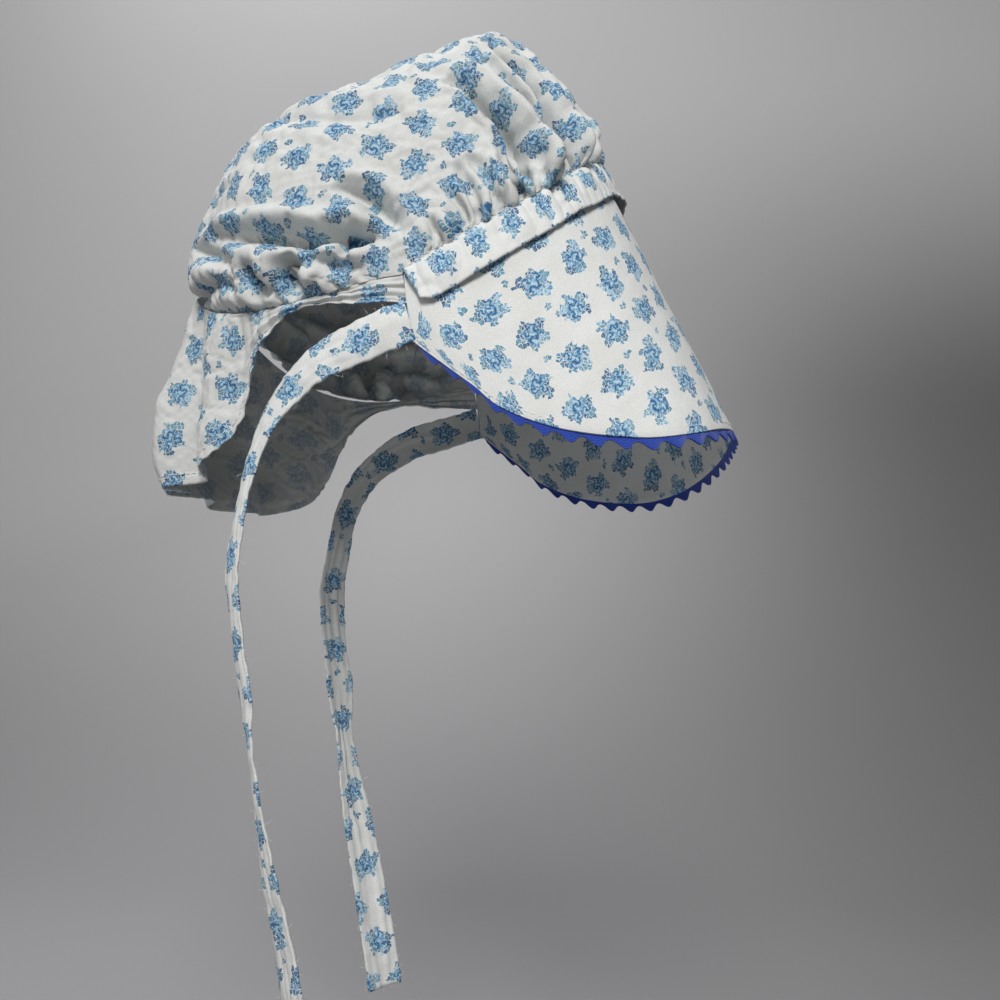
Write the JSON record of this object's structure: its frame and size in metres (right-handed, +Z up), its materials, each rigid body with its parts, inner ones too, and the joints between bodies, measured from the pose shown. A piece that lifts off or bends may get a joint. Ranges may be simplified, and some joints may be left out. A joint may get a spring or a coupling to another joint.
{
  "type": "sunbonnet",
  "caption": "Printed cotton sunbonnet with a stiff arched brim, a full gathered crown, a standing frill, a neck frill, rickrack trim and long ties.",
  "frame": {"origin": "where the top of the head meets the inside of the crown, on the bonnet's middle plane", "axes": "+X out of the face opening, +Y to the wearer's left, +Z up"},
  "size_m": [0.2997, 0.2023, 0.5088],
  "materials": {
    "printed_cotton": "matte plain-weave cotton with a small blue sprig print",
    "blue_rickrack": "matte woven braid"
  },
  "bodies": {
    "root": {"brim": "printed_cotton", "crown": "printed_cotton", "crown_frill": "printed_cotton", "neck_frill": "printed_cotton", "rickrack": "blue_rickrack", "tie_right": "printed_cotton", "tie_left": "printed_cotton"}
  },
  "joints": []
}
